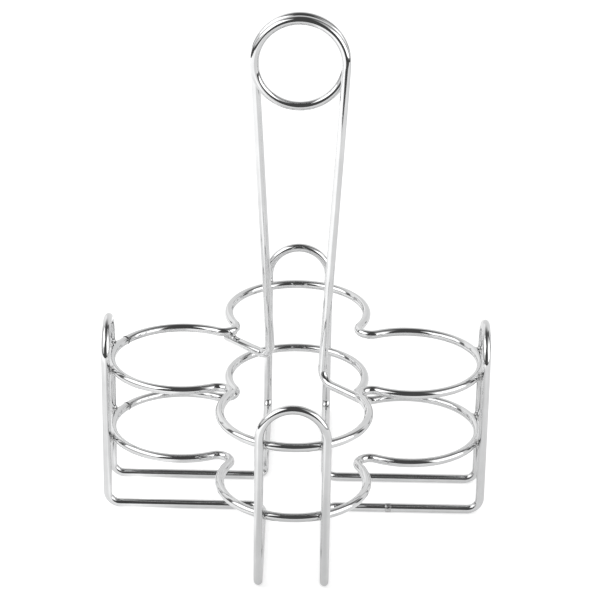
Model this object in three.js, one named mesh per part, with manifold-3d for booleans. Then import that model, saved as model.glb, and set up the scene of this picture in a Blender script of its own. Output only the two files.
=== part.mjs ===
// A welded wire caddy for four table bottles: a base frame with four arches, two rings and a carrying handle.
import * as THREE from "three";
import { mergeVertices } from "three/addons/utils/BufferGeometryUtils.js";
import Module from "manifold-3d";

// Driving dimensions, in millimetres and degrees. +X is right, +Y is back, +Z is up, and the table is Z = 0.
const WIRE_DIAMETER = 4.2;

// Each ring wire holds four bottles, and runs from one to the next through a tight neck.
const RING_INSIDE_DIAMETER = 64.3;
const RING_WRAP = 116.4; // half of the arc that goes round one bottle
const NECK_BEND_RADIUS = 6.2;
const LOWER_RING_HEIGHT = 37.2;
const RING_SPACING = 36;

// The base frame's two wires in each arm stand as far apart as the legs of its arch.
const ARCH_LEG_SPACING = 30.3;
const ARCH_STRAIGHT = 4.5; // straight leg between the upper ring and the start of the arch
const FOOT_BEND_RADIUS = 6;
const CORNER_BEND_RADIUS = 6;

// The handle's ends lie under two opposite necks of the upper ring.
const HANDLE_FOOT_SPACING = 34.8;
const HANDLE_OVERHANG = 4; // length that each end reaches past the middle of its neck
const HANDLE_BEND_RADIUS = 7;
const FINGER_RING_INSIDE_DIAMETER = 37.8;
const FINGER_RING_RISE = 150.5; // from the upper ring to the middle of the finger ring
const FINGER_RING_GAP = 1.2; // between the finger ring's turns

// Welds: a bead where two wires cross, and a swollen seam where a wire's two ends meet.
const WELD_GAP = 0.4; // between two wires that a bead joins
const WELD_FIT = 0.08; // between a weld and a wire
const BEAD_DIAMETER = 4.2;
const SEAM_LENGTH = 1.2;
const RING_SEAM_SWELL = 0.25;
const BASE_SEAM_SETBACK = 30.6; // along the right arm's front wire, from the corner
const RING_SEAM_SETBACK = 5.8; // along the ring, from the left arch's back leg

// How finely round shapes are divided.
const WIRE_SIDES = 12;
const LARGEST_STEP = THREE.MathUtils.degToRad(13);
const BEAD_COLUMNS = 12;
const BEAD_ROWS = 8;
const SEAM_SIDES = 16;
const SEAM_POINTS = 5;
const SAME_STATION = 1e-6; // stations closer than this are one
const SAME_VERTEX = 1e-4; // and so are vertices

// Sizes that follow from the driving dimensions.
const wireRadius = WIRE_DIAMETER / 2;
const crossing = WIRE_DIAMETER + WELD_GAP;
const tableHeight = wireRadius * Math.cos(Math.PI / WIRE_SIDES);
const ringRadius = RING_INSIDE_DIAMETER / 2 + wireRadius;
const ringWrap = THREE.MathUtils.degToRad(RING_WRAP);
const neckReach = ringRadius + NECK_BEND_RADIUS;
const ringOffset = neckReach * (Math.sin(ringWrap) - Math.cos(ringWrap));
const neckCentre = neckReach * Math.sin(ringWrap);
const neckDistance = neckCentre * Math.SQRT2 - NECK_BEND_RADIUS;
const upperRingHeight = LOWER_RING_HEIGHT + RING_SPACING;
const legOffset = ARCH_LEG_SPACING / 2;
const legTurn = Math.asin(legOffset / (ringRadius + crossing)); // round a bottle, from its arm to a leg
const armReach = ringOffset + (ringRadius + crossing) * Math.cos(legTurn);
const ringSeamTurn = Math.PI - legTurn - RING_SEAM_SETBACK / ringRadius;
const seamReach = SEAM_LENGTH / 2 + WELD_FIT; // from the middle of a seam to the wire's cut end
const archHeight = upperRingHeight + ARCH_STRAIGHT + legOffset;
const handleHeight = upperRingHeight - crossing;
const fingerRingRadius = FINGER_RING_INSIDE_DIAMETER / 2 + wireRadius;
const fingerRingHeight = upperRingHeight + FINGER_RING_RISE;
const fingerRingPitch = WIRE_DIAMETER + FINGER_RING_GAP;

const up = new THREE.Vector3(0, 0, 1);
const quarterTurn = Math.PI / 2;
const sides = ["right", "back", "left", "front"];

// A wire's centreline, kept as the stations that its bends need. Each station has a point and a direction.
class WirePath extends THREE.Curve {
  constructor(stations, firstNormal) {
    super();
    this.stations = stations.filter(({ point }, i) => {
      return i === 0 || point.distanceTo(stations[i - 1].point) > SAME_STATION;
    });
    this.firstNormal = firstNormal;
    this.steps = this.stations.length - 1;
  }

  getPoint(t, target = new THREE.Vector3()) {
    const place = t * this.steps;
    const index = Math.min(Math.floor(place), this.steps - 1);
    return target.lerpVectors(this.stations[index].point, this.stations[index + 1].point, place - index);
  }

  getSpacedPoints() {
    return this.stations.map((station) => station.point);
  }

  // Frames that turn with the wire and never twist round it.
  computeFrenetFrames() {
    const tangents = this.stations.map((station) => station.direction);
    const normal = this.firstNormal.clone();
    const turn = new THREE.Quaternion();
    const normals = tangents.map((tangent, i) => {
      if (i > 0) normal.applyQuaternion(turn.setFromUnitVectors(tangents[i - 1], tangent));
      return normal.clone();
    });
    const binormals = tangents.map((tangent, i) => tangent.clone().cross(normals[i]));
    return { tangents, normals, binormals };
  }
}

// Stations on a turn about an axis through a centre, from a starting point.
function turnStations(centre, start, axis, angle, advance = 0) {
  const steps = Math.max(1, Math.ceil(Math.abs(angle) / LARGEST_STEP));
  const spoke = start.clone().sub(centre);
  const sense = Math.sign(angle);
  const slope = advance / Math.abs(angle);
  return Array.from({ length: steps + 1 }, (_, i) => {
    const share = i / steps;
    const turned = spoke.clone().applyAxisAngle(axis, angle * share);
    const direction = axis.clone().cross(turned).multiplyScalar(sense);
    direction.addScaledVector(axis, slope).normalize();
    const point = centre.clone().add(turned).addScaledVector(axis, advance * share);
    return { point, direction };
  });
}

// Stations on the round bend that replaces a corner between two straight runs.
function bendStations(before, corner, after, radius) {
  const incoming = corner.clone().sub(before).normalize();
  const outgoing = after.clone().sub(corner).normalize();
  const angle = incoming.angleTo(outgoing);
  const start = corner.clone().addScaledVector(incoming, -radius * Math.tan(angle / 2));
  const axis = incoming.clone().cross(outgoing).normalize();
  const centre = axis.clone().cross(incoming).multiplyScalar(radius).add(start);
  return turnStations(centre, start, axis, angle);
}

// Stations along straight runs between corners, each corner bent to its radius. The two ends have none.
function bentStations(corners) {
  const first = corners[0].at;
  const last = corners.at(-1).at;
  const bends = corners.slice(1, -1).flatMap(({ at, radius }, i) => {
    return bendStations(corners[i].at, at, corners[i + 2].at, radius);
  });
  return [
    { point: first, direction: corners[1].at.clone().sub(first).normalize() },
    ...bends,
    { point: last, direction: last.clone().sub(corners.at(-2).at).normalize() },
  ];
}

// A solid wire along a path. The section's flat sides face along the path's normals and binormals.
function wireGeometry(path, radius) {
  const section = new THREE.Shape(
    Array.from({ length: WIRE_SIDES }, (_, i) => {
      const angle = ((i + 0.5) * 2 * Math.PI) / WIRE_SIDES;
      return new THREE.Vector2(radius * Math.cos(angle), radius * Math.sin(angle));
    }),
  );
  return new THREE.ExtrudeGeometry(section, { extrudePath: path, steps: path.steps });
}

// The base frame runs out along an arm, up and over its arch, back in, and round to the next arm.
function baseFramePath() {
  const corners = [];
  sides.forEach((_, arm) => {
    const place = (x, y, z) => new THREE.Vector3(x, y, z).applyAxisAngle(up, arm * quarterTurn);
    corners.push(
      { at: place(armReach, -legOffset, tableHeight), radius: FOOT_BEND_RADIUS },
      { at: place(armReach, -legOffset, archHeight), radius: legOffset },
      { at: place(armReach, legOffset, archHeight), radius: legOffset },
      { at: place(armReach, legOffset, tableHeight), radius: FOOT_BEND_RADIUS },
      { at: place(legOffset, legOffset, tableHeight), radius: CORNER_BEND_RADIUS },
    );
  });
  const end = (way) => ({ at: baseSeam().add(new THREE.Vector3(way * seamReach, 0, 0)) });
  return new WirePath(bentStations([end(1), ...corners, end(-1)]), up);
}

function baseSeam() {
  return new THREE.Vector3(legOffset + BASE_SEAM_SETBACK, -legOffset, tableHeight);
}

// Each bottle's arc is followed by the neck's turn the other way. The wire starts and ends at its seam.
function ringPath(height) {
  const cut = seamReach / ringRadius;
  const arc = (side, from, to) => {
    const centre = ringCentre(side, height);
    const start = pointOnRing(side, height, from);
    return turnStations(centre, start, up, to - from);
  };
  const neck = (side) => {
    const centre = new THREE.Vector3(neckCentre, neckCentre, height).applyAxisAngle(up, side * quarterTurn);
    const start = pointOnRing(side, height, side * quarterTurn + ringWrap);
    return turnStations(centre, start, up, quarterTurn - 2 * ringWrap);
  };
  const left = sides.indexOf("left");
  const stations = arc(left, ringSeamTurn + cut, left * quarterTurn + ringWrap);
  stations.push(...neck(left));
  for (let side = left + 1; side < left + sides.length; side += 1) {
    stations.push(...arc(side, side * quarterTurn - ringWrap, side * quarterTurn + ringWrap), ...neck(side));
  }
  stations.push(...arc(left, left * quarterTurn - ringWrap, ringSeamTurn - cut));
  return new WirePath(stations, up);
}

function ringCentre(side, height) {
  return new THREE.Vector3(ringOffset, 0, height).applyAxisAngle(up, side * quarterTurn);
}

function pointOnRing(side, height, angle) {
  const spoke = new THREE.Vector3(Math.cos(angle), Math.sin(angle), 0);
  return ringCentre(side, height).addScaledVector(spoke, ringRadius);
}

// The handle's feet lie along the diagonal from the back left neck to the front right neck.
const diagonal = new THREE.Vector3(1, -1, 0).normalize();

function handleEnd() {
  return diagonal.clone().multiplyScalar(neckDistance + HANDLE_OVERHANG).setZ(handleHeight);
}

function handleFoot() {
  return diagonal.clone().multiplyScalar(HANDLE_FOOT_SPACING / 2).setZ(handleHeight);
}

// The angle on the finger ring, seen from the front, where the right leg's straight run touches it.
function legTouchAngle() {
  const foot = handleFoot();
  const drop = foot.z - fingerRingHeight;
  return Math.atan2(drop, foot.x) + Math.acos(fingerRingRadius / Math.hypot(foot.x, drop));
}

// Seen from the front the finger ring runs clockwise, from the left leg at its back to the right leg.
function handlePath() {
  const halfTurn = (point) => point.clone().applyAxisAngle(up, Math.PI);
  const touch = legTouchAngle();
  const sweep = 3 * Math.PI - 2 * touch;
  const advance = (-fingerRingPitch * sweep) / (2 * Math.PI);
  const axis = new THREE.Vector3(0, 1, 0);
  const centre = new THREE.Vector3(0, -advance / 2, fingerRingHeight);
  const left = new THREE.Vector3(-Math.cos(touch), 0, Math.sin(touch));
  const start = centre.clone().addScaledVector(left, fingerRingRadius);
  const coil = turnStations(centre, start, axis, sweep, advance);
  const foot = handleFoot();
  const right = bentStations([
    { at: coil.at(-1).point },
    { at: foot, radius: HANDLE_BEND_RADIUS },
    { at: handleEnd() },
  ]);
  const leg = right.slice(1);
  const otherLeg = leg.toReversed().map(({ point, direction }) => {
    return { point: halfTurn(point), direction: halfTurn(direction).negate() };
  });
  console.log(`least gap in the finger ring: ${leastGap(coil).toFixed(2)} mm`);
  return new WirePath([...otherLeg, ...coil, ...leg], up);
}

// Clear space between turns that lie more than half a turn apart along the coil.
function leastGap(coil) {
  const apart = Math.ceil(Math.PI / LARGEST_STEP);
  let least = Infinity;
  coil.forEach(({ point }, i) => {
    coil.slice(i + apart).forEach((other) => {
      least = Math.min(least, point.distanceTo(other.point));
    });
  });
  return least - WIRE_DIAMETER;
}

const wasm = await Module();
wasm.setup();

function solidOf(geometry) {
  const loose = geometry.index ? geometry.toNonIndexed() : geometry;
  const plain = new THREE.BufferGeometry();
  plain.setAttribute("position", loose.getAttribute("position"));
  const merged = mergeVertices(plain, SAME_VERTEX);
  return new wasm.Manifold(
    new wasm.Mesh({
      numProp: 3,
      vertProperties: merged.getAttribute("position").array,
      triVerts: new Uint32Array(merged.index.array),
    }),
  );
}

function geometryOf(solid) {
  const { numProp, numVert, vertProperties, triVerts } = solid.getMesh();
  const points = new Float32Array(numVert * 3);
  for (let i = 0; i < numVert; i += 1) {
    points.set(vertProperties.subarray(i * numProp, i * numProp + 3), i * 3);
  }
  const geometry = new THREE.BufferGeometry();
  geometry.setAttribute("position", new THREE.BufferAttribute(points, 3));
  geometry.setIndex(new THREE.BufferAttribute(triVerts, 1));
  geometry.computeVertexNormals();
  return geometry;
}

// A bead of weld metal that fills the crevice round the place where two wires cross.
function beadGeometry(place, wires) {
  const ball = new THREE.SphereGeometry(BEAD_DIAMETER / 2, BEAD_COLUMNS, BEAD_ROWS);
  ball.translate(place.x, place.y, place.z);
  return geometryOf(wires.reduce((bead, wire) => bead.subtract(wire), solidOf(ball)));
}

// A seam between a wire's two cut ends. It can swell past the wire in the middle of its length.
function seamGeometry(swell = 0) {
  const profile = Array.from({ length: SEAM_POINTS }, (_, i) => {
    const share = i / (SEAM_POINTS - 1);
    const radius = tableHeight + swell * Math.sin(Math.PI * share);
    return new THREE.Vector2(radius, (share - 0.5) * SEAM_LENGTH);
  });
  const foot = new THREE.Vector2(0, -SEAM_LENGTH / 2);
  const head = new THREE.Vector2(0, SEAM_LENGTH / 2);
  return new THREE.LatheGeometry([foot, ...profile, head], SEAM_SIDES);
}

function chrome() {
  return new THREE.MeshStandardMaterial({ color: 0xd4d6d9, roughness: 0.12, metalness: 1 });
}

function weldMetal() {
  return new THREE.MeshStandardMaterial({ color: 0xb9bcc0, roughness: 0.35, metalness: 1 });
}

const caddy = new THREE.Group();

function addPiece(name, geometry, material) {
  const piece = new THREE.Mesh(geometry, material);
  piece.name = name;
  caddy.add(piece);
  return piece;
}

const basePath = baseFramePath();
const ringHeights = { lower: LOWER_RING_HEIGHT, upper: upperRingHeight };
const ringPaths = { lower: ringPath(ringHeights.lower), upper: ringPath(ringHeights.upper) };
const carryPath = handlePath();
addPiece("base_frame", wireGeometry(basePath, wireRadius), chrome());
addPiece("lower_ring", wireGeometry(ringPaths.lower, wireRadius), chrome());
addPiece("upper_ring", wireGeometry(ringPaths.upper, wireRadius), chrome());
addPiece("handle", wireGeometry(carryPath, wireRadius), chrome());

// The beads are cut to the wires with a small fit all round.
const fitted = (path) => solidOf(wireGeometry(path, wireRadius + WELD_FIT));
const fittedBase = fitted(basePath);
const fittedRings = { lower: fitted(ringPaths.lower), upper: fitted(ringPaths.upper) };
const fittedHandle = fitted(carryPath);

// Each ring crosses the two legs of every arch. A leg is named by its arch and by the side that it stands on.
Object.entries(ringHeights).forEach(([level, height]) => {
  sides.forEach((side, arm) => {
    [-1, 1].forEach((way) => {
      const legSide = sides[(arm + way + sides.length) % sides.length];
      const angle = arm * quarterTurn + way * legTurn;
      const outward = new THREE.Vector3(Math.cos(angle), Math.sin(angle), 0);
      const place = pointOnRing(arm, height, angle).addScaledVector(outward, crossing / 2);
      const bead = beadGeometry(place, [fittedBase, fittedRings[level]]);
      addPiece(`weld_${side}_${legSide}_${level}`, bead, weldMetal());
    });
  });
});

// The handle's ends are welded under the front right and back left necks.
Object.entries({ front_right: 1, back_left: -1 }).forEach(([corner, way]) => {
  const place = diagonal.clone().multiplyScalar(way * neckDistance).setZ(upperRingHeight - crossing / 2);
  addPiece(`weld_handle_${corner}`, beadGeometry(place, [fittedHandle, fittedRings.upper]), weldMetal());
});

// The seams close the base frame and the two rings. The base frame's is ground flush, so it stands level.
const baseSeamPiece = addPiece("seam_base_frame", seamGeometry(), weldMetal());
baseSeamPiece.position.copy(baseSeam());
baseSeamPiece.rotation.z = -quarterTurn;
Object.entries(ringHeights).forEach(([level, height]) => {
  const piece = addPiece(`seam_${level}_ring`, seamGeometry(RING_SEAM_SWELL), weldMetal());
  piece.position.copy(pointOnRing(sides.indexOf("left"), height, ringSeamTurn));
  piece.rotation.z = ringSeamTurn;
});

export default caddy;
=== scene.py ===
import math
from collections import namedtuple

import bmesh
import bpy
from mathutils import Matrix, Quaternion, Vector, noise


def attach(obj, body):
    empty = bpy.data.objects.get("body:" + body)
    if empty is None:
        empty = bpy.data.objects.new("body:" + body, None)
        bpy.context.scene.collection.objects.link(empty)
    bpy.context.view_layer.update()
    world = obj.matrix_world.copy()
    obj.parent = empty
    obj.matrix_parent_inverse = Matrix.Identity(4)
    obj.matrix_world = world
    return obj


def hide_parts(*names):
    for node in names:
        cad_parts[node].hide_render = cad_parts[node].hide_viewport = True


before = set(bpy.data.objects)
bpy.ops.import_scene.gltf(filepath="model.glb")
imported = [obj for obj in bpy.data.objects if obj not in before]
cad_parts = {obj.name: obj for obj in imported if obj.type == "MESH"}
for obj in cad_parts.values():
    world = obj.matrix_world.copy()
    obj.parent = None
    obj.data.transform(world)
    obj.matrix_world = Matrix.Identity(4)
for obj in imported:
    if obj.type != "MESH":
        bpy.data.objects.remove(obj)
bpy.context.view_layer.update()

# Driving dimensions of the caddy, the same as the CAD part's, in metres and radians.
# +X is right, +Y is back, +Z is up, and the table is Z = 0.
WIRE_DIAMETER = 0.0042
RING_INSIDE_DIAMETER = 0.0643
RING_WRAP = math.radians(116.4)  # half of the arc that goes round one bottle
NECK_BEND_RADIUS = 0.0062
LOWER_RING_HEIGHT = 0.0372
RING_SPACING = 0.036
ARCH_LEG_SPACING = 0.0303
ARCH_STRAIGHT = 0.0045  # straight leg between the upper ring and the start of the arch
FOOT_BEND_RADIUS = 0.006
CORNER_BEND_RADIUS = 0.006
HANDLE_FOOT_SPACING = 0.0348
HANDLE_OVERHANG = 0.004  # length that each end reaches past the middle of its neck
HANDLE_BEND_RADIUS = 0.007
FINGER_RING_INSIDE_DIAMETER = 0.0378
FINGER_RING_RISE = 0.1505  # from the upper ring to the middle of the finger ring
FINGER_RING_GAP = 0.0012
FINGER_RING_TURNS = 1.5  # between the places where upright legs would run off it
WELD_GAP = 0.0004  # between two wires that a bead joins
BASE_SEAM_SETBACK = 0.0306  # along the right arm's front wire, from the corner
RING_SEAM_SETBACK = 0.0058  # along the ring, from the left arch's back leg

# Details that only the looks have.
WIRE_SIDES = 64
LARGEST_STEP = math.radians(2)
SHARP_EDGE = math.radians(50)
TIGHT_BEND = 0.010  # bends tighter than this flatten the wire a little
BEND_FLATTENING = 0.04  # share of the wire's thickness that such a bend takes away
FLATTENING_RAMP = 0.25  # share of a bend over which the flattening sets in
SAME_PLACE = 1e-6
END_ROUNDING = 0.0005  # edge radius of the handle's sheared ends
END_STEPS = 4
GRAIN_STRETCH = 0.04  # drawing marks run along the wire, so their pattern is squeezed that way
BEAD_FILLET = 0.0021  # reach of the weld metal in the crevice between two wires
BEAD_REACH = 0.0027
BEAD_MARCH = 0.00008
BEAD_HALVINGS = 7  # of the last step, to find where the metal ends
BEAD_DIVISIONS = 5
BEAD_LUMPS = 0.00022  # height of the lumps on a bead
HANDLE_BEAD_LUMPS = 0.00004
BEAD_LUMP_SIZE = 0.0011
SEAM_STEPS = 24
SEAM_TUCK = 0.00012  # depth that a seam's edges lie inside the wire
RING_SEAM_LENGTH = 0.0017
RING_SEAM_SWELL = 0.00015
BASE_SEAM_LENGTH = 0.0038
BASE_SEAM_SWELL = 0.00020
SEAM_LUMPS = 0.00012

# Sizes that follow from the driving dimensions.
WIRE_RADIUS = WIRE_DIAMETER / 2
CROSSING = WIRE_DIAMETER + WELD_GAP
RING_RADIUS = RING_INSIDE_DIAMETER / 2 + WIRE_RADIUS
NECK_REACH = RING_RADIUS + NECK_BEND_RADIUS
RING_OFFSET = NECK_REACH * (math.sin(RING_WRAP) - math.cos(RING_WRAP))
NECK_CENTRE = NECK_REACH * math.sin(RING_WRAP)
NECK_DISTANCE = NECK_CENTRE * math.sqrt(2) - NECK_BEND_RADIUS
UPPER_RING_HEIGHT = LOWER_RING_HEIGHT + RING_SPACING
LEG_OFFSET = ARCH_LEG_SPACING / 2
LEG_TURN = math.asin(LEG_OFFSET / (RING_RADIUS + CROSSING))
ARM_REACH = RING_OFFSET + (RING_RADIUS + CROSSING) * math.cos(LEG_TURN)
RING_SEAM_TURN = math.pi - LEG_TURN - RING_SEAM_SETBACK / RING_RADIUS
ARCH_HEIGHT = UPPER_RING_HEIGHT + ARCH_STRAIGHT + LEG_OFFSET
HANDLE_HEIGHT = UPPER_RING_HEIGHT - CROSSING
FINGER_RING_RADIUS = FINGER_RING_INSIDE_DIAMETER / 2 + WIRE_RADIUS
FINGER_RING_HEIGHT = UPPER_RING_HEIGHT + FINGER_RING_RISE
FINGER_RING_PITCH = WIRE_DIAMETER + FINGER_RING_GAP
UP = Vector((0, 0, 1))
DIAGONAL = Vector((1, -1, 0)).normalized()
QUARTER_TURN = math.pi / 2
SIDES = ("right", "back", "left", "front")

# A place on a wire's centreline. The outward vector points away from a tight bend, and its squared
# length is the share of the wire's thickness that the bend takes away.
Station = namedtuple("Station", "point direction outward")


def turn(centre, start, axis, angle, advance=0.0):
    """Stations on a turn about an axis through a centre, from a starting point."""
    steps = max(1, math.ceil(abs(angle) / LARGEST_STEP))
    spoke = start - centre
    flatness = math.sqrt(BEND_FLATTENING) if spoke.length < TIGHT_BEND else 0
    stations = []
    for step in range(steps + 1):
        share = step / steps
        turned = Quaternion(axis, angle * share) @ spoke
        point = centre + turned + axis * advance * share
        direction = axis.cross(turned) * math.copysign(1, angle) + axis * (advance / abs(angle))
        set_in = min(1, share / FLATTENING_RAMP, (1 - share) / FLATTENING_RAMP)
        outward = turned.normalized() * flatness * set_in
        stations.append(Station(point, direction.normalized(), outward))
    return stations


def bend(before, corner, after, radius):
    """Stations on the round bend that replaces a corner between two straight runs."""
    incoming = (corner - before).normalized()
    outgoing = (after - corner).normalized()
    angle = incoming.angle(outgoing)
    start = corner - incoming * radius * math.tan(angle / 2)
    axis = incoming.cross(outgoing).normalized()
    return turn(start + axis.cross(incoming) * radius, start, axis, angle)


def straight_end(point, direction):
    return Station(point, direction.normalized(), Vector())


def bent(corners):
    """Stations along straight runs between corners, which are given as (point, bend radius).

    The two ends have no bend.
    """
    points = [point for point, _ in corners]
    stations = [straight_end(points[0], points[1] - points[0])]
    for i in range(1, len(corners) - 1):
        stations += bend(points[i - 1], points[i], points[i + 1], corners[i][1])
    stations.append(straight_end(points[-1], points[-1] - points[-2]))
    return stations


def turned_about_z(vector, quarters):
    return Quaternion(UP, quarters * QUARTER_TURN) @ vector


def base_seam():
    return Vector((LEG_OFFSET + BASE_SEAM_SETBACK, -LEG_OFFSET, WIRE_RADIUS))


def base_frame_route():
    """Out along an arm, up and over its arch, back in, and round to the next arm."""
    corners = [(base_seam(), 0)]
    for arm in range(len(SIDES)):
        for x, y, z, radius in (
            (ARM_REACH, -LEG_OFFSET, WIRE_RADIUS, FOOT_BEND_RADIUS),
            (ARM_REACH, -LEG_OFFSET, ARCH_HEIGHT, LEG_OFFSET),
            (ARM_REACH, LEG_OFFSET, ARCH_HEIGHT, LEG_OFFSET),
            (ARM_REACH, LEG_OFFSET, WIRE_RADIUS, FOOT_BEND_RADIUS),
            (LEG_OFFSET, LEG_OFFSET, WIRE_RADIUS, CORNER_BEND_RADIUS),
        ):
            corners.append((turned_about_z(Vector((x, y, z)), arm), radius))
    corners.append((base_seam(), 0))
    return bent(corners)


def ring_centre(side, height):
    return turned_about_z(Vector((RING_OFFSET, 0, height)), side)


def outward_at(angle):
    return Vector((math.cos(angle), math.sin(angle), 0))


def point_on_ring(side, height, angle):
    return ring_centre(side, height) + outward_at(angle) * RING_RADIUS


def ring_arc(side, height, first, last):
    return turn(ring_centre(side, height), point_on_ring(side, height, first), UP, last - first)


def ring_route(height):
    """Round the four bottles. Each arc is followed by the neck's turn the other way.

    The wire starts and ends at its seam, on the left.
    """
    left = SIDES.index("left")
    stations = []
    for side in range(left, left + len(SIDES)):
        middle = side * QUARTER_TURN
        first = RING_SEAM_TURN if side == left else middle - RING_WRAP
        stations += ring_arc(side, height, first, middle + RING_WRAP)
        neck = turned_about_z(Vector((NECK_CENTRE, NECK_CENTRE, height)), side)
        start = point_on_ring(side, height, middle + RING_WRAP)
        stations += turn(neck, start, UP, QUARTER_TURN - 2 * RING_WRAP)
    stations += ring_arc(left, height, left * QUARTER_TURN - RING_WRAP, RING_SEAM_TURN)
    return stations


def handle_route():
    """From the back left end up the left leg, round the finger ring and down to the front right end.

    Seen from the front, the finger ring is wound clockwise.
    """
    end = DIAGONAL * (NECK_DISTANCE + HANDLE_OVERHANG) + UP * HANDLE_HEIGHT
    foot = DIAGONAL * (HANDLE_FOOT_SPACING / 2) + UP * HANDLE_HEIGHT
    drop = foot.z - FINGER_RING_HEIGHT
    # The angle, about the ring's middle, at which the right leg runs off the ring.
    touch = math.atan2(drop, foot.x) + math.acos(FINGER_RING_RADIUS / math.hypot(foot.x, drop))
    sweep_angle = 2 * math.pi * FINGER_RING_TURNS - 2 * touch
    advance = -FINGER_RING_PITCH * sweep_angle / (2 * math.pi)
    centre = Vector((0, -advance / 2, FINGER_RING_HEIGHT))
    start = centre + Vector((-math.cos(touch), 0, math.sin(touch))) * FINGER_RING_RADIUS
    coil = turn(centre, start, Vector((0, 1, 0)), sweep_angle, advance)
    leg = bent([(coil[-1].point, 0), (foot, HANDLE_BEND_RADIUS), (end, 0)])[1:]
    half_turn = Quaternion(UP, math.pi)
    other_leg = [
        Station(half_turn @ point, -(half_turn @ direction), half_turn @ outward)
        for point, direction, outward in reversed(leg)
    ]
    return other_leg + coil + leg


def rounded_end(station, way):
    """Stations and radii of a sheared end whose edge is rounded. The first is at the end face."""
    made = []
    for step in range(END_STEPS + 1):
        angle = QUARTER_TURN * step / END_STEPS
        point = station.point - station.direction * way * END_ROUNDING * (1 - math.sin(angle))
        radius = WIRE_RADIUS - END_ROUNDING * (1 - math.cos(angle))
        made.append((station._replace(point=point), radius))
    return made[::-1]


def without_repeats(stations):
    """Stations without those where one stretch of the wire starts just where the last one ended."""
    kept = stations[:1]
    for station in stations[1:]:
        if (station.point - kept[-1].point).length > SAME_PLACE:
            kept.append(station)
    return kept


def wire_rings(stations, round_ends):
    """Stations with the wire's radius at each.

    A closed wire's ends meet inside its seam, so only the handle's ends are rounded.
    """
    stations = without_repeats(stations)
    plain = [(station, WIRE_RADIUS) for station in stations]
    if not round_ends:
        return plain
    return rounded_end(stations[0], -1) + plain[1:-1] + rounded_end(stations[-1], 1)[::-1]


def sweep(rings):
    """Vertices, faces and grain coordinates of a round skin through rings of (station, radius)."""
    vertices, grain, faces = [], [], []
    normal = rings[0][0].direction.orthogonal().normalized()
    along = 0.0
    for i, (station, radius) in enumerate(rings):
        if i > 0:
            before = rings[i - 1][0]
            normal = before.direction.rotation_difference(station.direction) @ normal
            along += (station.point - before.point).length
        binormal = station.direction.cross(normal)
        for side in range(WIRE_SIDES):
            angle = 2 * math.pi * side / WIRE_SIDES
            offset = (normal * math.cos(angle) + binormal * math.sin(angle)) * radius
            offset -= station.outward * offset.dot(station.outward)
            vertices.append(station.point + offset)
            grain.append((math.cos(angle) * radius, math.sin(angle) * radius, along * GRAIN_STRETCH))
    for i in range(len(rings) - 1):
        for side in range(WIRE_SIDES):
            near = i * WIRE_SIDES + side
            beside = i * WIRE_SIDES + (side + 1) % WIRE_SIDES
            faces.append((near, beside, beside + WIRE_SIDES, near + WIRE_SIDES))
    last = (len(rings) - 1) * WIRE_SIDES
    faces.append(tuple(reversed(range(WIRE_SIDES))))
    faces.append(tuple(range(last, last + WIRE_SIDES)))
    return vertices, faces, grain


def link(name, data):
    made = bpy.data.objects.new(name, data)
    bpy.context.scene.collection.objects.link(made)
    return made


def add_piece(name, replaced, slot, material, vertices, faces, grain):
    """A smooth piece of the caddy that stands for one CAD node."""
    mesh = bpy.data.meshes.new(name)
    mesh.from_pydata(vertices, [], faces)
    mesh.shade_smooth()
    mesh.set_sharp_from_angle(angle=SHARP_EDGE)
    pattern = mesh.attributes.new("grain", "FLOAT_VECTOR", "POINT")
    pattern.data.foreach_set("vector", [number for place in grain for number in place])
    mesh.materials.append(material)
    piece = link(name, mesh)
    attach(piece, "root")
    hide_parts(replaced)


# Materials. A noise's scale is in waves per metre, and its detail is the number of finer layers in it.
Noise = namedtuple("Noise", "scale detail")
WIRE_MARKS = Noise(scale=1800, detail=1)
WIRE_STREAKS = Noise(scale=700, detail=2)
WIRE_WAVES = Noise(scale=300, detail=1)
WIRE_CLOUD = Noise(scale=90, detail=3)
WELD_PITS = Noise(scale=2200, detail=4)
WELD_CLOUD = Noise(scale=700, detail=2)
NOISE_RANGE = (0.3, 0.7)  # where the values of a noise mostly are
WIRE_DARK = (0.54, 0.543, 0.546, 1)
WIRE_LIGHT = (0.86, 0.863, 0.866, 1)
WIRE_ROUGHNESS = (0.03, 0.08)
WIRE_WAVE_HEIGHT = 0.00002
WELD_ROUGHNESS = (0.12, 0.32)
WHITE = (1, 1, 1, 1)


def grey(level):
    return (level, level, level, 1)


def add_node(tree, kind, values=(), **settings):
    """A shader node with its settings and the values of some of its inputs."""
    made = tree.nodes.new("ShaderNode" + kind)
    for name, value in settings.items():
        setattr(made, name, value)
    for name, value in dict(values).items():
        made.inputs[name].default_value = value
    return made


def new_material(name):
    """A material without nodes, and the tree for them."""
    material = bpy.data.materials.new(name)
    material.use_nodes = True
    material.node_tree.nodes.clear()
    return material, material.node_tree


def new_metal(name):
    """A material with a bare metal shader. Returns the material, its tree and the shader."""
    material, tree = new_material(name)
    shader = add_node(tree, "BsdfPrincipled", {"Metallic": 1.0})
    output = add_node(tree, "OutputMaterial")
    tree.links.new(shader.outputs["BSDF"], output.inputs["Surface"])
    return material, tree, shader


def add_noise(tree, pattern, place):
    made = add_node(tree, "TexNoise", {"Scale": pattern.scale, "Detail": pattern.detail})
    tree.links.new(place, made.inputs["Vector"])
    return made.outputs["Fac"]


def add_range(tree, value, low, high, start, end):
    """The value's run from start to end, spread over low to high."""
    spread = add_node(
        tree, "MapRange", {"From Min": start, "From Max": end, "To Min": low, "To Max": high}
    )
    tree.links.new(value, spread.inputs["Value"])
    return spread.outputs["Result"]


def add_switch(tree, flag, value_off, value_on):
    """One value where a flag is 0, and another where it is 1."""
    return add_range(tree, flag, value_off, value_on, 0.0, 1.0)


def add_math(tree, operation, first, second):
    made = add_node(tree, "Math", operation=operation)
    tree.links.new(first, made.inputs[0])
    tree.links.new(second, made.inputs[1])
    return made.outputs["Value"]


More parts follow.
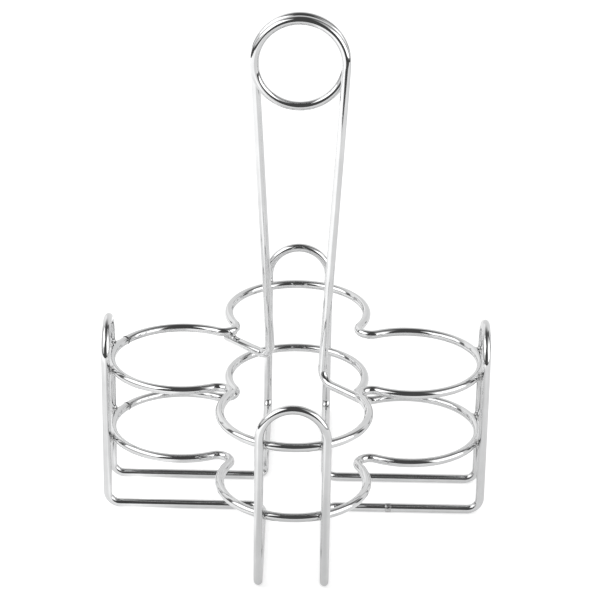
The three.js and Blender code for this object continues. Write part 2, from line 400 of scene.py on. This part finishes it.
def add_mix(tree, share, first, second):
    """A colour between two, by a share from 0 to 1."""
    mix = add_node(tree, "Mix", data_type="RGBA")
    colours = [socket for socket in mix.inputs if socket.type == "RGBA"]
    colours[0].default_value = first
    colours[1].default_value = second
    tree.links.new(share, mix.inputs["Factor"])
    return next(socket for socket in mix.outputs if socket.type == "RGBA")


def add_bump(tree, height, distance):
    bump = add_node(tree, "Bump", {"Strength": 1.0, "Distance": distance})
    tree.links.new(height, bump.inputs["Height"])
    return bump.outputs["Normal"]


def chrome_wire():
    """Bright plate over drawn wire: faint drawing marks, soft waves and a slightly uneven tone."""
    material, tree, shader = new_metal("chrome_wire")
    grain = add_node(tree, "Attribute", attribute_name="grain").outputs["Vector"]
    place = add_node(tree, "TexCoord").outputs["Object"]
    marks = add_noise(tree, WIRE_MARKS, grain)
    streaks = add_noise(tree, WIRE_STREAKS, grain)
    waves = add_noise(tree, WIRE_WAVES, grain)
    cloud = add_noise(tree, WIRE_CLOUD, place)
    share = add_math(tree, "MULTIPLY", cloud, streaks)
    tone = add_mix(tree, share, WIRE_DARK, WIRE_LIGHT)
    roughness = add_range(tree, marks, *WIRE_ROUGHNESS, *NOISE_RANGE)
    tree.links.new(tone, shader.inputs["Base Color"])
    tree.links.new(roughness, shader.inputs["Roughness"])
    tree.links.new(add_bump(tree, waves, WIRE_WAVE_HEIGHT), shader.inputs["Normal"])
    return material


def chrome_weld(name, dark, light, pit_depth):
    """Plate over rough weld metal: pitted, duller and darker than the wire."""
    material, tree, shader = new_metal(name)
    place = add_node(tree, "TexCoord").outputs["Object"]
    pits = add_noise(tree, WELD_PITS, place)
    cloud = add_noise(tree, WELD_CLOUD, place)
    tone = add_mix(tree, cloud, grey(dark), grey(light))
    roughness = add_range(tree, pits, *WELD_ROUGHNESS, *NOISE_RANGE)
    tree.links.new(tone, shader.inputs["Base Color"])
    tree.links.new(roughness, shader.inputs["Roughness"])
    tree.links.new(add_bump(tree, pits, pit_depth), shader.inputs["Normal"])
    return material


# The caddy's pieces

wire_metal = chrome_wire()
weld_metal = chrome_weld("chrome_weld", dark=0.40, light=0.60, pit_depth=0.00006)
fillet_metal = chrome_weld("chrome_fillet", dark=0.50, light=0.70, pit_depth=0.000015)
seam_metal = chrome_weld("chrome_seam", dark=0.06, light=0.24, pit_depth=0.00006)
ring_heights = {"lower": LOWER_RING_HEIGHT, "upper": UPPER_RING_HEIGHT}
ring_routes = {level: ring_route(height) for level, height in ring_heights.items()}
base_route = base_frame_route()


def add_wire(node, stations, round_ends=False):
    skin = sweep(wire_rings(stations, round_ends))
    add_piece(node + "_wire", node, "chrome_wire", wire_metal, *skin)


def distance_to_wire(point, wire):
    """Distance from the skin of a straight wire, given as a point on its middle and a direction."""
    start, direction = wire
    away = point - start
    return (away - direction * away.dot(direction)).length - WIRE_RADIUS


def is_in_weld(point, wires):
    """True inside the two wires and in the fillet of metal that fills the crevice between them.

    A quarter of the fillet's reach is how far it stands out where both wires are equally near.
    """
    first, second = (distance_to_wire(point, wire) for wire in wires)
    closeness = max(0, 1 - abs(first - second) / BEAD_FILLET)
    return min(first, second) < closeness ** 2 * BEAD_FILLET / 4


def bead_skin(place, wires, lumps, seed):
    """A lumpy ball round a crossing.

    It shows only where it fills the crevice, and the rest of it is inside the wires.
    """
    ball = bmesh.new()
    bmesh.ops.create_icosphere(ball, subdivisions=BEAD_DIVISIONS, radius=1)
    vertices = []
    for vertex in ball.verts:
        way = vertex.co.normalized()
        lump = noise.noise(way * (BEAD_REACH / BEAD_LUMP_SIZE) + Vector((seed, 0, 0)))
        reach = BEAD_MARCH
        while reach < BEAD_REACH and is_in_weld(place + way * reach, wires):
            reach += BEAD_MARCH
        if reach < BEAD_REACH:
            step = BEAD_MARCH
            for _ in range(BEAD_HALVINGS):
                step /= 2
                reach += step if is_in_weld(place + way * reach, wires) else -step
            reach += lump * lumps
        vertices.append(place + way * reach)
    faces = [tuple(vertex.index for vertex in face.verts) for face in ball.faces]
    ball.free()
    return vertices, faces, vertices


def add_bead(node, metal, place, wires, lumps, seed):
    add_piece(node + "_bead", node, "chrome_weld", metal, *bead_skin(place, wires, lumps, seed))


def add_cross_welds():
    """Each ring crosses the two legs of every arch.

    A leg is named by its arch and by the side that it stands on.
    """
    for level, height in ring_heights.items():
        for arm, side in enumerate(SIDES):
            for way in (-1, 1):
                leg_side = SIDES[(arm + way) % len(SIDES)]
                angle = arm * QUARTER_TURN + way * LEG_TURN
                on_ring = point_on_ring(arm, height, angle)
                leg = on_ring + outward_at(angle) * CROSSING
                wires = ((on_ring, outward_at(angle + QUARTER_TURN)), (leg, UP))
                seed = arm + height / RING_SPACING + way
                node = f"weld_{side}_{leg_side}_{level}"
                add_bead(node, weld_metal, (on_ring + leg) / 2, wires, BEAD_LUMPS, seed)


def add_handle_welds():
    """The handle's ends are welded under the front right and back left necks."""
    across = DIAGONAL.cross(UP)
    for corner, way in (("front_right", 1), ("back_left", -1)):
        on_neck = DIAGONAL * way * NECK_DISTANCE + UP * UPPER_RING_HEIGHT
        below = on_neck - UP * CROSSING
        wires = ((on_neck, across), (below, DIAGONAL))
        node = f"weld_handle_{corner}"
        add_bead(node, fillet_metal, (on_neck + below) / 2, wires, HANDLE_BEAD_LUMPS, way)


def seam_skin(route, length, swell, seed):
    """A lumpy collar of weld metal over a wire's two butted ends. Its edges lie inside the wire."""
    station = route[0]
    rings = []
    for step in range(SEAM_STEPS + 1):
        share = 2 * step / SEAM_STEPS - 1
        place = station._replace(point=station.point + station.direction * share * length / 2)
        bulge = (swell + SEAM_TUCK) * math.cos(share * QUARTER_TURN)
        rings.append((place, WIRE_RADIUS - SEAM_TUCK + bulge))
    vertices, faces, grain = sweep(rings)
    for i, vertex in enumerate(vertices):
        station, radius = rings[i // WIRE_SIDES]
        away = (vertex - station.point).normalized()
        lump = noise.noise(vertex / BEAD_LUMP_SIZE + Vector((seed, 0, 0))) * SEAM_LUMPS
        lump *= max(0, (radius - WIRE_RADIUS) / swell)
        vertices[i] = vertex + away * lump
        vertices[i].z = max(0, vertices[i].z)
    return vertices, faces, grain


def add_seam(node, metal, route, length, swell, seed):
    add_piece(node + "_collar", node, "chrome_weld", metal, *seam_skin(route, length, swell, seed))


def add_ring_seam(level, seed):
    node = f"seam_{level}_ring"
    add_seam(node, seam_metal, ring_routes[level], RING_SEAM_LENGTH, RING_SEAM_SWELL, seed)


add_wire("base_frame", base_route)
add_wire("lower_ring", ring_routes["lower"])
add_wire("upper_ring", ring_routes["upper"])
add_wire("handle", handle_route(), round_ends=True)
add_cross_welds()
add_handle_welds()
add_seam("seam_base_frame", weld_metal, base_route, BASE_SEAM_LENGTH, BASE_SEAM_SWELL, seed=1)
add_ring_seam("lower", seed=2)
add_ring_seam("upper", seed=3)

# Studio, in metres and degrees: a pale floor, white all round, two large soft boxes in front, a faint
# one at the back left, and a grey dome for the wires to reflect.
# An azimuth goes round from straight back towards the right, and an elevation is above the floor.
FLOOR_LEFT = 0.9
FLOOR_RIGHT = 1.2
FLOOR_FRONT_LEFT = 0.9
FLOOR_FRONT_RIGHT = 0.5
FLOOR_BACK = 4.0
FLOOR_COLOUR = 0.8
FLOOR_GLOW = 0.31  # added where the floor is seen, so that it is nearly as white as the background
FLOOR_GLOW_FAR = 0.14  # more of it at the back, where the soft boxes no longer reach
FAR_RUN = (0.3, 0.8)  # setting in from the first place on Y, full from the second
FLOOR_GLOW_IN_VIEW = 0.17  # more of it for the camera
FLOOR_GLOW_LEFT = 0.48  # more of it in the pool of light to the left
POOL_EDGE = (-0.080, -0.055)  # on X, from inside the pool to outside it
POOL_SHADE = 0.30  # share of the pool's light that is left in the shade beside the left arch
POOL_LEFT_RUN = (-0.36, -0.24)  # on X, from outside this shade to inside it
POOL_RIGHT_RUN = (-0.088, -0.078)  # on X, from inside it to outside it, under the left arm
POOL_FRONT_RUN = (-0.20, -0.13)  # on Y, from outside it to inside it
FRONT_SHADE = 0.45  # share of the glow that the wires see just before the front arch
FRONT_SHADE_PLACE = (0, -0.135, 0)
FRONT_SHADE_RUN = (0.03, 0.09)  # full within the first radius, gone at the second
WORLD_WHITE = 1.0  # strength of the world where it is seen
WORLD_LIGHT = 0.6  # its strength where it lights matt surfaces
DOME_RADIUS = 2.5
DOME_GREY = 0.085
DOME_COLUMNS = 360
DOME_ROWS = 72
DOME_LOWEST = -20
DOME_HIGHEST = 90
CAMERA_SIDE = 179  # azimuth of the middle of the dark camera side
CAMERA_SIDE_RUN = (32, 42)  # dark within the first angle from there, open from the second
OVERHEAD_RUN = (35, 80)  # elevations between which the dome closes overhead
LOW_STRIP_RUN = (50, 65)  # azimuths, either way, between which dark strips low at the sides set in
LOW_STRIP_LEFT = 6  # elevation of the left strip's upper edge
LOW_STRIP_RIGHT = 0
LOW_STRIP_EASE = 3
GAP_EASE = 10  # degrees over which a gap fades at its lower and its upper end
GAP_LEAN_START = 22  # gaps lean over above this elevation

# A dark gap beside the backdrop: where it stands, how far it leans for each degree up, the distances
# from its middle that are fully dark and no longer dark, its lowest and highest elevations, and the
# share of the white that it hides.
Gap = namedtuple("Gap", "azimuth lean dark clear lowest highest cover")
GAPS = (
    Gap(azimuth=-80.5, lean=0.75, dark=4, clear=8, lowest=-2, highest=48, cover=0.92),
    Gap(azimuth=-57, lean=1.1, dark=1.5, clear=4, lowest=-5, highest=36, cover=0.75),
    Gap(azimuth=74, lean=0, dark=5, clear=9, lowest=-6, highest=32, cover=1.0),
    Gap(azimuth=67, lean=0, dark=9, clear=22, lowest=26, highest=75, cover=0.9),
    Gap(azimuth=51, lean=0, dark=1.5, clear=4, lowest=-12, highest=16, cover=0.95),
)

# A large even lamp that faces the caddy. Reflections see its radiance added to that of the white
# behind it, which is 1.
SoftBox = namedtuple("SoftBox", "name azimuth elevation distance width height radiance")
SOFT_BOXES = (
    SoftBox(
        "left_soft_box", azimuth=-113.2, elevation=44, distance=1.5,
        width=1.505, height=1.05, radiance=1.52,
    ),
    SoftBox(
        "right_soft_box", azimuth=114, elevation=23, distance=1.5,
        width=1.27, height=1.09, radiance=1.52,
    ),
    SoftBox(
        "back_soft_box", azimuth=-40, elevation=30, distance=2.2,
        width=1.8, height=1.43, radiance=0.25,
    ),
)


def smooth_step(low, high, value):
    share = min(1, max(0, (value - low) / (high - low)))
    return share * share * (3 - 2 * share)


def direction_to(azimuth, elevation):
    azimuth, elevation = math.radians(azimuth), math.radians(elevation)
    level = math.cos(elevation)
    return Vector((math.sin(azimuth) * level, math.cos(azimuth) * level, math.sin(elevation)))


def add_seen(tree):
    """1 for rays from the camera and for those that metal or glass sends on, else 0."""
    path = add_node(tree, "LightPath").outputs
    sent_on = add_math(tree, "MAXIMUM", path["Is Glossy Ray"], path["Is Transmission Ray"])
    return add_math(tree, "MAXIMUM", path["Is Camera Ray"], sent_on)


def add_world():
    world = bpy.data.worlds.new("white_studio")
    bpy.context.scene.world = world
    world.use_nodes = True
    tree = world.node_tree
    tree.nodes.clear()
    background = add_node(tree, "Background", {"Color": WHITE})
    strength = add_switch(tree, add_seen(tree), WORLD_LIGHT, WORLD_WHITE)
    tree.links.new(strength, background.inputs["Strength"])
    output = add_node(tree, "OutputWorld")
    tree.links.new(background.outputs["Background"], output.inputs["Surface"])


def add_pool(tree, x, y):
    """The glow of the pool of light to the left, less of it in the shade beside the left arch."""
    pool = add_range(tree, x, FLOOR_GLOW_LEFT, 0.0, *POOL_EDGE)
    left_of_shade = add_range(tree, x, 1.0, POOL_SHADE, *POOL_LEFT_RUN)
    front_of_shade = add_range(tree, y, 1.0, POOL_SHADE, *POOL_FRONT_RUN)
    right_of_shade = add_range(tree, x, POOL_SHADE, 1.0, *POOL_RIGHT_RUN)
    beside_shade = add_math(tree, "MAXIMUM", left_of_shade, right_of_shade)
    share = add_math(tree, "MAXIMUM", beside_shade, front_of_shade)
    return add_math(tree, "MULTIPLY", pool, share)


def add_front_shade(tree, place, in_view):
    """The share of the glow that is left before the front arch. The camera sees all of it."""
    from_shade = add_node(tree, "VectorMath", operation="DISTANCE")
    from_shade.inputs[1].default_value = FRONT_SHADE_PLACE
    tree.links.new(place, from_shade.inputs[0])
    share = add_range(tree, from_shade.outputs["Value"], FRONT_SHADE, 1.0, *FRONT_SHADE_RUN)
    return add_math(tree, "MAXIMUM", share, in_view)


def add_floor_glow(tree):
    """How strongly the floor glows: only where it is seen, and most for the camera."""
    place = add_node(tree, "TexCoord").outputs["Object"]
    parts = add_node(tree, "SeparateXYZ")
    tree.links.new(place, parts.inputs["Vector"])
    in_view = add_node(tree, "LightPath").outputs["Is Camera Ray"]
    pool = add_pool(tree, parts.outputs["X"], parts.outputs["Y"])
    rest = add_range(tree, parts.outputs["Y"], FLOOR_GLOW, FLOOR_GLOW + FLOOR_GLOW_FAR, *FAR_RUN)
    glow = add_math(tree, "ADD", pool, rest)
    shaded = add_math(tree, "MULTIPLY", glow, add_front_shade(tree, place, in_view))
    level = add_math(tree, "MULTIPLY", shaded, add_seen(tree))
    extra = add_switch(tree, in_view, 0.0, FLOOR_GLOW_IN_VIEW)
    return add_math(tree, "ADD", level, extra)


def add_floor():
    material, tree = new_material("pale_floor")
    paint = add_node(tree, "BsdfDiffuse", {"Color": grey(FLOOR_COLOUR)})
    glow = add_node(tree, "Emission", {"Color": WHITE})
    both = add_node(tree, "AddShader")
    output = add_node(tree, "OutputMaterial")
    tree.links.new(add_floor_glow(tree), glow.inputs["Strength"])
    tree.links.new(paint.outputs["BSDF"], both.inputs[0])
    tree.links.new(glow.outputs["Emission"], both.inputs[1])
    tree.links.new(both.outputs["Shader"], output.inputs["Surface"])
    corners = [
        (-FLOOR_LEFT, -FLOOR_FRONT_LEFT, 0),
        (FLOOR_RIGHT, -FLOOR_FRONT_RIGHT, 0),
        (FLOOR_RIGHT, FLOOR_BACK, 0),
        (-FLOOR_LEFT, FLOOR_BACK, 0),
    ]
    mesh = bpy.data.meshes.new("floor")
    mesh.from_pydata(corners, [], [(0, 1, 2, 3)])
    mesh.materials.append(material)
    link("floor", mesh)


def gap_cover(gap, azimuth, elevation):
    middle = gap.azimuth + gap.lean * max(0, elevation - GAP_LEAN_START)
    across = 1 - smooth_step(gap.dark, gap.clear, abs(azimuth - middle))
    above = smooth_step(gap.lowest, gap.lowest + GAP_EASE, elevation)
    below = 1 - smooth_step(gap.highest - GAP_EASE, gap.highest, elevation)
    return gap.cover * across * above * below


def dome_cover(azimuth, elevation):
    """How much of the white background the dome hides.

    It hides all of it behind the camera, overhead and low at the sides, and much of it in the gaps.
    """
    from_camera = abs((azimuth % 360) - CAMERA_SIDE)
    camera_side = 1 - smooth_step(*CAMERA_SIDE_RUN, from_camera)
    overhead = smooth_step(*OVERHEAD_RUN, elevation)
    low_edge = LOW_STRIP_LEFT if azimuth < 0 else LOW_STRIP_RIGHT
    low = 1 - smooth_step(low_edge - LOW_STRIP_EASE, low_edge + LOW_STRIP_EASE, elevation)
    low_strip = smooth_step(*LOW_STRIP_RUN, abs(azimuth)) * low
    left_open = (1 - camera_side) * (1 - overhead) * (1 - low_strip)
    for gap in GAPS:
        left_open *= 1 - gap_cover(gap, azimuth, elevation)
    return 1 - left_open


def dome_material():
    material, tree = new_material("grey_dome")
    cover = add_node(tree, "Attribute", attribute_name="cover").outputs["Fac"]
    dark = add_node(tree, "Emission", {"Color": WHITE, "Strength": DOME_GREY})
    clear = add_node(tree, "BsdfTransparent")
    mix = add_node(tree, "MixShader")
    output = add_node(tree, "OutputMaterial")
    tree.links.new(cover, mix.inputs["Fac"])
    tree.links.new(clear.outputs["BSDF"], mix.inputs[1])
    tree.links.new(dark.outputs["Emission"], mix.inputs[2])
    tree.links.new(mix.outputs["Shader"], output.inputs["Surface"])
    return material


def add_dome():
    """A grey dome that only reflections see, open where the background and the soft boxes are."""
    vertices, covers, faces = [], [], []
    for row in range(DOME_ROWS + 1):
        elevation = DOME_LOWEST + (DOME_HIGHEST - DOME_LOWEST) * row / DOME_ROWS
        for column in range(DOME_COLUMNS):
            azimuth = 360 * column / DOME_COLUMNS - 180
            vertices.append(direction_to(azimuth, elevation) * DOME_RADIUS)
            covers.append(dome_cover(azimuth, elevation))
    for row in range(DOME_ROWS):
        for column in range(DOME_COLUMNS):
            near = row * DOME_COLUMNS + column
            beside = row * DOME_COLUMNS + (column + 1) % DOME_COLUMNS
            faces.append((near, beside, beside + DOME_COLUMNS, near + DOME_COLUMNS))
    mesh = bpy.data.meshes.new("dome")
    mesh.from_pydata(vertices, [], faces)
    mesh.attributes.new("cover", "FLOAT", "POINT").data.foreach_set("value", covers)
    mesh.materials.append(dome_material())
    dome = link("dome", mesh)
    dome.visible_camera = False
    dome.visible_diffuse = False
    dome.visible_shadow = False


def add_soft_box(box):
    """The camera doesn't see the lamp itself."""
    lamp = bpy.data.lights.new(box.name, "AREA")
    lamp.shape = "RECTANGLE"
    lamp.size = box.width
    lamp.size_y = box.height
    lamp.energy = math.pi * box.radiance * box.width * box.height
    made = link(box.name, lamp)
    away = direction_to(box.azimuth, box.elevation)
    facing = away.to_track_quat("Z", "Y").to_matrix().to_4x4()
    made.matrix_world = Matrix.Translation(away * box.distance) @ facing
    made.visible_camera = False


# The camera stands in front of the caddy, a little above it, as the photograph's did.
CAMERA_LENS = 150.5  # millimetres, as is the sensor
CAMERA_SENSOR = 36.0
CAMERA_AIM = Vector((0.00142, 0.00193, 0.10416))
CAMERA_DISTANCE = 1.19
CAMERA_HEADING = math.radians(0.44)
CAMERA_DIP = math.radians(24.76)
CAMERA_TILT = math.radians(0.885)


def add_camera():
    camera = bpy.data.cameras.new("camera")
    camera.lens = CAMERA_LENS
    camera.sensor_width = CAMERA_SENSOR
    made = link("camera", camera)
    heading = Matrix.Rotation(CAMERA_HEADING, 4, "Z")
    dip = Matrix.Rotation(QUARTER_TURN - CAMERA_DIP, 4, "X")
    tilt = Matrix.Rotation(CAMERA_TILT, 4, "Z")
    back = Matrix.Translation((0, 0, CAMERA_DISTANCE))
    made.matrix_world = Matrix.Translation(CAMERA_AIM) @ heading @ dip @ tilt @ back
    bpy.context.scene.camera = made


add_world()
add_floor()
add_dome()
for soft_box in SOFT_BOXES:
    add_soft_box(soft_box)
add_camera()
bpy.context.scene.view_settings.view_transform = "Standard"
